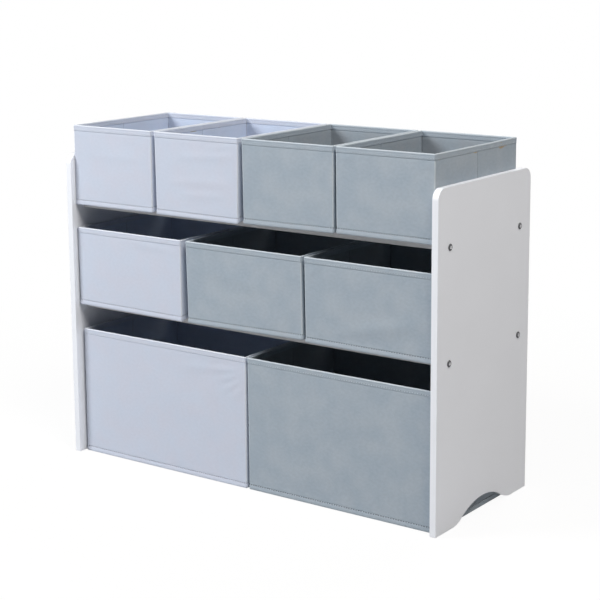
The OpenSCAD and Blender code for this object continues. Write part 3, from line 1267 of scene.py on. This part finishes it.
    def rim_band(self) -> bpy.types.Object:
        """Folds the band over the rim, with its rolled top edge.

        Returns:
            The piece.
        """
        sew, top = self.sewing, self.height
        outer = [(top - depth, out) for depth, out in sew.rim_profile()]
        inner = [(z, -sew.wall - out) for z, out in reversed(outer)]
        hidden = (10.8, 6.0, 0.8)
        hidden_in = [(top - depth, -sew.wall - 0.03) for depth in hidden]
        hidden_out = [(top - depth, 0.03) for depth in reversed(hidden)]
        stations = outer + [(top, -sew.wall / 2)] + inner + hidden_in + hidden_out
        seen = len(outer) * 2 + 1
        folds = [sew.crease * 0.35 if out > -sew.wall / 2 else -sew.crease * 0.35 for _, out in stations]
        folds[seen:] = [0.0] * (len(stations) - seen)
        rings = np.stack([self.ring(z, out, fold) for (z, out), fold in zip(stations, folds)])
        places = np.array(stations + stations[:1])
        depths = top - (places[:-1, 0] + places[1:, 0]) / 2
        # Faces along the stitch row take the darker seam felt: painted shade.
        needle_shade = np.abs(depths - sew.rim_seam) < sew.needle_reach
        # Faces of the rolled top edge take the lighter edge felt: a painted highlight.
        slots = np.where(depths < sew.roll, RimSlot.ROLL, np.where(needle_shade, RimSlot.NEEDLE, RimSlot.BAND))
        slots[seen:] = RimSlot.BAND
        shell = Shell()
        shell.sweep(rings, self.outline.travelled * MM, lengths(places), slots.tolist(), looped=True)
        cloths = self.palette.cloths(self.cloth, Patch.RIM, Patch.EDGE, Patch.SEAM)
        return shell.finish(f"{self.name}_rim", cloths)

    def seams(self) -> bpy.types.Object:
        """Lays the stitches: one row outside the rim, two inside it and one round the foot.

        Returns:
            The piece.
        """
        sew, top = self.sewing, self.height
        outwards = np.column_stack([self.outline.ways, np.zeros(self.outline.count)])
        rows = (
            (top - sew.rim_seam, sew.outer_lie, 1.0),
            (sew.foot_seam, sew.foot_lie, 1.0),
            (top - sew.rim_seam, -sew.wall - sew.outer_lie, -1.0),
            (top - sew.inner_seam, -sew.wall - sew.inner_lie, -1.0),
        )
        lines = [
            (self.ring(height, out, side * sew.crease * 0.3), outwards * side, True)
            for height, out, side in rows
        ]
        values = {
            "Pitch": sew.stitch_pitch * MM,
            "Stitch length": sew.stitch_length * MM,
            "Thread radius": sew.thread * MM,
            "Looseness": sew.looseness,
            "Seed": self.seed,
            "Thread": self.palette.thread[self.cloth],
        }
        mesh = line_mesh(f"{self.name}_seam_lines", lines)
        return self.stitches.run(f"{self.name}_stitches", mesh, values)

    def wall_boards(self) -> bpy.types.Object:
        """Cuts the six stiff boards and stands them in their pockets.

        Returns:
            The piece.
        """
        sew = self.sewing
        half_wide, half_deep = self.half_width - sew.wall - sew.play, self.half_depth - sew.wall
        thick, out = sew.board / 2, sew.wall / 2
        flap = (half_deep - sew.fold_width / 2) / 2
        boards = [(0.0, side * (self.half_depth - out), half_wide, thick) for side in (-1, 1)]
        boards += [
            (side * (self.half_width - out), half * (sew.fold_width / 2 + flap), thick, flap - sew.play)
            for side in (-1, 1)
            for half in (-1, 1)
        ]
        ease = 0.3
        low, high = sew.pocket_floor + ease, self.height - sew.pocket_top
        rows = [(low, -ease), (low + ease, 0.0)]
        rows += [(z, 0.0) for z in levels(low + 6, high - 6, 20.0)]
        rows += [(high - ease, 0.0), (high, -ease)]
        along = np.array([z for z, _ in rows]) * MM
        shell = Shell()
        for x, y, half_x, half_y in boards:
            line = Outline(half_x, half_y, ease, 18.0, corner_steps=2)
            shift = np.array([x, y, 0.0])
            rings = [self.settle(line.ring(gap, z, 0.05) + shift, True) for z, gap in rows]
            shell.sweep(np.stack(rings), line.travelled * MM, along)
        return shell.finish(f"{self.name}_stiffeners", [self.palette.board])

    def base_board(self) -> bpy.types.Object:
        """Makes the loose board, faced with felt, that lies on the floor of the bin.

        Returns:
            The piece.
        """
        low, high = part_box(f"{self.name}_base_board")
        trim = 0.8
        half_wide, half_deep = (high.x - low.x) / 2 / MM - trim, (high.y - low.y) / 2 / MM - trim
        line = Outline(half_wide, half_deep, 3.0, 12.0, corner_steps=4)
        thick = (high.z - low.z) / MM
        base = (low.z - self.middle[2]) / MM
        rows = [
            (0.08, -2.4), (0.1, -0.9), (0.3, -0.25), (0.7, 0.0), (thick - 0.7, 0.0),
            (thick - 0.3, -0.25), (thick - 0.05, -0.9), (thick, -2.4),
        ]
        rings = np.stack([self.settle(line.ring(out, base + z), True) for z, out in rows])
        shell = Shell()
        shell.sweep(rings, line.travelled * MM, lengths(np.array(rows)))
        return shell.finish(f"{self.name}_base", [self.palette.lining])

    def build(self) -> list[bpy.types.Object]:
        """Makes the bin's pieces and hangs each on its body.

        Returns:
            The pieces.
        """
        plan = [
            (self.cover(), "cover", self.name, self.cloth.value),
            (self.rim_band(), "rim_band", self.name, self.cloth.value),
            (self.seams(), "", self.name, self.cloth.value),
            (self.wall_boards(), "wall_boards", self.name, "wall_board"),
            (self.base_board(), "base_board", f"{self.name}_board", "base_board"),
        ]
        for piece, node, body, slot in plan:
            if node:
                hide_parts(f"{self.name}_{node}")
            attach(piece, body)
        return [piece for piece, *_ in plan]


@dataclass(frozen=True)
class RowPlan:
    """One row of bins, from left to right: how many are of light felt, and how each stands."""

    name: str
    light: int
    # True also paints a shade line under the rim band.
    bright_hem_and_seam_shade: bool
    stances: tuple[Stance, ...]


ROWS = (
    RowPlan("top", 2, True, (
        Stance(0.0, -1.0, 0.0, -1.4, sag_left=3.4, sag_right=2.8, creases=(
            Crease((0.25, 0.62), (0.95, 0.66), 0.5, 9.0),
        )),
        Stance(0.0, -0.5, 2.4, -3.0, sag_left=3.8, sag_right=4.4, creases=(
            Crease((0.3, 0.72), (1.0, 0.78), 0.9, 7.0), Crease((0.2, 0.42), (0.95, 0.46), 0.8, 8.0),
            Crease((0.35, 0.28), (0.9, 0.3), 0.8, 7.0), Crease((0.62, 0.84), (0.96, 0.9), 0.8, 5.0),
        )),
        Stance(1.0, 1.4, 3.4, 1.4, sag_left=2.4, sag_right=0.6),
        Stance(0.0, 0.0, 1.2, 0.0, creases=(
            Crease((0.88, 0.83), (1.0, 0.9), 1.0, 4.0), Crease((0.05, 0.86), (0.16, 0.9), 0.8, 5.0),
        )),
    )),
    RowPlan("middle", 1, True, (
        Stance(0.0, -2.0, 1.8, -2.2, sag_left=2.6, sag_right=4.0, creases=(
            Crease((0.55, 0.88), (1.0, 0.84), 0.7, 6.0),
        )),
        Stance(1.5, 2.0, 5.0, 4.5, sag_left=3.6, creases=(
            Crease((0.1, 0.7), (0.8, 0.5), 0.9, 14.0),
        )),
        Stance(0.0, 0.0, 2.4, 0.0, sag_left=2.6, sag_right=4.0, creases=(
            Crease((0.3, 0.2), (0.98, 0.42), 1.5, 13.0), Crease((0.02, 0.8), (0.1, 0.88), 0.9, 5.0),
        )),
    )),
    RowPlan("bottom", 1, False, (
        Stance(-3.0, -0.4, -4.5, -1.6, bulge_left=0.8, bulge_right=0.3, creases=(
            Crease((0.80, 0.86), (1.0, 0.9), 1.0, 5.0), Crease((0.86, 0.80), (1.0, 0.87), 1.3, 4.5),
            Crease((0.88, 0.72), (1.0, 0.84), 1.2, 5.0), Crease((0.93, 0.66), (1.0, 0.8), 0.9, 5.0),
            Crease((0.6, 0.84), (0.9, 0.88), 0.7, 8.0),
        )),
        Stance(1.6, 0.0, 3.0, 0.0, bulge_left=0.3, bulge_right=0.3, ripple=0.3),
    )),
)


@dataclass
class BinRows:
    """The three rows of bins."""

    palette: Palette
    plans: tuple[RowPlan, ...] = ROWS

    def build(self) -> list[bpy.types.Object]:
        """Sews every bin.

        Returns:
            The pieces of all bins.
        """
        stitches = StitchGraph()
        pieces: list[bpy.types.Object] = []
        for number, plan in enumerate(self.plans):
            for place, stance in enumerate(plan.stances, 1):
                cloth = Cloth.LIGHT if place <= plan.light else Cloth.GREY
                name, seed = f"{plan.name}_bin_{place}", 10 * number + place
                pieces += FeltBin(name, cloth, stance, seed, self.palette, stitches, plan.bright_hem_and_seam_shade).build()
        return pieces


@dataclass
class CadCopy:
    """A CAD node's shape, merged, with its sharp edges eased and its curves shaded smooth."""

    node: str
    name: str
    material: bpy.types.Material
    slot: str
    body: str = "cabinet"
    ease: float = 0.0
    segments: int = 3
    merge: float = 0.001
    flat_angle: float = 0.5
    bevel_angle: float = 40.0
    sharp_angle: float = 32.0

    def build(self) -> bpy.types.Object:
        """Makes the piece and hangs it on its body.

        Returns:
            The piece.
        """
        mesh = bpy.data.meshes.new(self.name)
        work = bmesh.new()
        work.from_mesh(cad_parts[self.node].data)
        bmesh.ops.remove_doubles(work, verts=work.verts[:], dist=self.merge * MM)
        flat = math.radians(self.flat_angle)
        bmesh.ops.dissolve_limit(work, angle_limit=flat, verts=work.verts[:], edges=work.edges[:])
        if self.ease:
            turn = math.radians(self.bevel_angle)
            sharp = [e for e in work.edges if len(e.link_faces) == 2 and e.calc_face_angle(0.0) > turn]
            bmesh.ops.bevel(
                work, geom=sharp, offset=self.ease * MM, offset_type="OFFSET", segments=self.segments,
                profile=0.5, affect="EDGES", clamp_overlap=True,
            )
        for face in work.faces:
            face.smooth = True
        work.to_mesh(mesh)
        work.free()
        mesh.set_sharp_from_angle(angle=math.radians(self.sharp_angle))
        mesh.materials.clear()
        mesh.materials.append(self.material)
        piece = stand(self.name, mesh)
        if self.ease:
            piece.modifiers.new("weighted_normals", "WEIGHTED_NORMAL").keep_sharp = True
        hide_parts(self.node)
        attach(piece, self.body)
        return piece


@dataclass
class SocketScrew:
    """A screw with a low, rounded head and a hexagon socket, in millimetres, standing on the origin."""

    head: float = 12.0
    rim: float = 1.0
    crown: float = 1.2
    flat: float = 8.4
    ease: float = 0.25
    shoulder: float = 0.12
    shank: float = 6.0
    length: float = 32.0
    tip: float = 0.9
    plain: float = 11.0
    thread_pitch: float = 1.0
    thread_depth: float = 0.35
    socket: float = 4.0
    depth: float = 1.8
    face: float = 6.2
    # Width of the head's middle that takes the lighter steel: a painted highlight.
    bright: float = 5.4
    turns: int = 24
    sharp_angle: float = 35.0

    def profile(self) -> list[tuple[float, float]]:
        """Draws the outside, from the tip over the thread to the flat of the head.

        Returns:
            Radius and height of each point.
        """
        shank, head, tip = self.shank / 2, self.head / 2, -self.length
        points = [(shank - self.tip, tip), (shank, tip + self.tip)]
        for count in range(int(self.length - self.plain - 3)):
            z = tip + self.tip + 0.5 + count * self.thread_pitch
            points += [(shank - self.thread_depth, z), (shank, z + self.thread_pitch / 2)]
        points += [(shank, -self.plain), (shank, 0.0), (head - self.ease, 0.0), (head, self.ease)]
        points += [(head, self.rim - 0.15), (head - self.shoulder, self.rim + 0.05)]
        for share in (0.35, 0.7, 0.92, 1.0):
            radius = head - self.shoulder - (self.head - self.flat) / 2 * share
            points.append((radius, self.rim + self.crown * math.sin(share * math.pi / 2)))
        return points

    def build(self) -> bpy.types.Object:
        """Turns the screw.

        Returns:
            The screw, as the pattern for its copies.
        """
        work = bmesh.new()
        rings = [self.ring(work, radius, z) for radius, z in self.profile()]
        top, hexagon = self.rim + self.crown, self.socket / math.sqrt(3)
        rings.append(self.ring(work, self.face / 2, top))
        rings.append(self.ring(work, hexagon + 0.3, top - 0.02, True))
        rings.append(self.ring(work, hexagon, top - 0.3, True))
        rings.append(self.ring(work, hexagon, top - self.depth + 0.4, True))
        rings.append(self.ring(work, 0.7, top - self.depth))
        for low, high in zip(rings, rings[1:]):
            for here in range(self.turns):
                there = (here + 1) % self.turns
                work.faces.new((low[here], low[there], high[there], high[here]))
        work.faces.new(list(reversed(rings[0])))
        work.faces.new(rings[-1])
        bmesh.ops.recalc_face_normals(work, faces=work.faces[:])
        # Faces in the middle of the head are marked for the lighter steel, a painted highlight.
        inside = work.faces.layers.bool.new("socket")
        for face in work.faces:
            face.smooth = True
            centre = face.calc_center_median() / MM
            face[inside] = centre.z > 0 and math.hypot(centre.x, centre.y) < self.bright / 2
        mesh = bpy.data.meshes.new("socket_screw")
        work.to_mesh(mesh)
        work.free()
        mesh.set_sharp_from_angle(angle=math.radians(self.sharp_angle))
        return stand("socket_screw", mesh)

    def ring(self, work: bmesh.types.BMesh, radius: float, z: float, hexagon: bool = False) -> list:
        """Adds one ring.

        Args:
            work: The mesh that it goes into.
            radius: Its radius, to the corners of a hexagon.
            z: Its height.
            hexagon: True to draw it onto a hexagon.

        Returns:
            Its vertices.
        """
        ring = []
        for count in range(self.turns):
            angle = count * 2 * math.pi / self.turns
            reach = radius
            if hexagon:
                wedge = (angle % (math.pi / 3)) - math.pi / 6
                reach = radius * math.cos(math.pi / 6) / math.cos(wedge)
            x, y = reach * math.cos(angle), reach * math.sin(angle)
            ring.append(work.verts.new((x * MM, y * MM, z * MM)))
        return ring


@dataclass
class Carcass:
    """The fixed frame: two side panels, four bars, their plugs and their screws."""

    palette: Palette
    panel_ease: float = 0.9
    plug_ease: float = 0.2
    screw_seed: int = 4

    def build(self) -> list[bpy.types.Object]:
        """Makes the frame's pieces.

        Returns:
            The pieces.
        """
        own = self.palette
        copies = [
            CadCopy(f"side_panel_{side}", f"panel_{side}", own.panel, "panel_paint", ease=self.panel_ease)
            for side in ("left", "right")
        ]
        copies += [CadCopy(bar, f"{bar}_tube", own.bar, "bar_paint") for bar in BARS]
        copies.append(CadCopy("bar_end_plugs", "bar_plugs", own.nylon, "plug_plastic", ease=self.plug_ease))
        return [copy.build() for copy in copies] + [self.screws()]

    def screws(self) -> bpy.types.Object:
        """Sets the eight screws where the CAD screws are.

        Returns:
            The piece.
        """
        lines = []
        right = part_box("side_panel_right")[1].x
        for bar in BARS:
            low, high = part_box(bar)
            for side in (-1, 1):
                point = (side * right, (low.y + high.y) / 2, (low.z + high.z) / 2)
                lines.append((np.array([point]), np.array([(side, 0.0, 0.0)]), False))
        pattern = SocketScrew().build()
        values = {
            "Screw": pattern, "Seed": self.screw_seed,
            "Steel": self.palette.screw, "Socket steel": self.palette.socket,
        }
        piece = ScrewGraph().run("panel_screw_set", line_mesh("screw_places", lines), values)
        bpy.data.objects.remove(pattern)
        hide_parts("panel_screws")
        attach(piece, "cabinet")
        return piece


@dataclass(frozen=True)
class Lamp:
    """A round, soft lamp, aimed at the middle of the cabinet, with its angles in degrees."""

    name: str
    azimuth: float
    elevation: float
    power: float
    colour: Colour
    distance: float = 4.0
    size: float = 1.8
    aim: Place = (0.0, 0.0, 0.35)

    def hang(self) -> None:
        """Hangs the lamp."""
        turn, rise = math.radians(self.azimuth), math.radians(self.elevation)
        back = Vector((math.sin(turn) * math.cos(rise), -math.cos(turn) * math.cos(rise), math.sin(rise)))
        data = bpy.data.lights.new(self.name, "AREA")
        data.shape, data.size, data.energy, data.color = "DISK", self.size, self.power, self.colour
        lamp = stand(self.name, data)
        lamp.location = Vector(self.aim) + back * self.distance
        lamp.rotation_mode = "QUATERNION"
        lamp.rotation_quaternion = (-back).to_track_quat("-Z", "Y")


@dataclass
class Studio:
    """The camera, the lamps, the background and the floor."""

    palette: Palette
    place: Place = (1.7227, -2.3432, 0.9889)
    yaw: float = 0.6275
    pitch: float = -0.1839
    roll: float = -0.0075
    lens: float = 94.108
    film: float = 36.0
    rise: float = -0.1
    nearest: float = 0.05
    farthest: float = 60.0
    ambient: float = 0.03
    floor_reach: float = 9.0
    floor_drop: float = 0.0004
    lamps: tuple[Lamp, ...] = (
        Lamp("key_lamp", -45.0, 35.0, 138.0, (0.985, 0.99, 1.0)),
        Lamp("fill_lamp", 62.0, 52.0, 110.0, (1.0, 0.95, 0.9)),
        Lamp("back_lamp", 180.0, 50.0, 48.0, (1.0, 0.99, 0.98)),
    )

    def camera(self) -> None:
        """Sets up the camera at the photograph's place."""
        level = Vector((-math.sin(self.yaw), math.cos(self.yaw), 0))
        side = Vector((math.cos(self.yaw), math.sin(self.yaw), 0))
        ahead = level * math.cos(self.pitch) + Vector((0, 0, math.sin(self.pitch)))
        up = Vector((0, 0, math.cos(self.pitch))) - level * math.sin(self.pitch)
        right = side * math.cos(self.roll) + up * math.sin(self.roll)
        up = up * math.cos(self.roll) - side * math.sin(self.roll)
        data = bpy.data.cameras.new("camera")
        data.lens, data.sensor_width, data.shift_y = self.lens, self.film, self.rise
        data.clip_start, data.clip_end = self.nearest, self.farthest
        camera = stand("camera", data)
        rows = [(right[i], up[i], -ahead[i], self.place[i]) for i in range(3)]
        camera.matrix_world = Matrix([*rows, (0, 0, 0, 1)])
        bpy.context.scene.camera = camera

    def background(self) -> None:
        """Makes the world white where it is seen and dim where it lights."""
        world = bpy.data.worlds.new("studio")
        bpy.context.scene.world = world
        world.use_nodes = True
        world.node_tree.nodes.clear()
        graph = Graph(world.node_tree)
        level = graph.get("ShaderNodeMapRange", {0: graph.seen(), "To Min": self.ambient, "To Max": 1.0})
        sky = graph.get("ShaderNodeBackground", {"Color": (1.0, 1.0, 1.0), "Strength": level})
        graph.add("ShaderNodeOutputWorld", {0: sky})
        bpy.context.scene.view_settings.view_transform = "Standard"

    def floor(self) -> None:
        """Lays the floor, just under the cabinet's feet."""
        mesh = bpy.data.meshes.new("floor")
        signs = ((-1, -1), (1, -1), (1, 1), (-1, 1))
        corners = [(x * self.floor_reach, y * self.floor_reach, -self.floor_drop) for x, y in signs]
        mesh.from_pydata(corners, [], [(0, 1, 2, 3)])
        mesh.materials.append(self.palette.floor)
        floor = stand("floor", mesh)

    def build(self) -> None:
        """Sets up everything."""
        self.camera()
        for lamp in self.lamps:
            lamp.hang()
        self.background()
        self.floor()


def main() -> None:
    """Builds the studio, the frame and the bins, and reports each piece."""
    logging.basicConfig(level=logging.INFO, format="%(name)s %(message)s")
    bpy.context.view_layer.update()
    palette = Palette()
    Studio(palette).build()
    for part in (Carcass(palette), BinRows(palette)):
        for piece in part.build():
            LOG.info("%s: %d faces", piece.name, len(piece.data.polygons))
    LOG.info("boxes written")


if __name__ == "__main__":
    main()
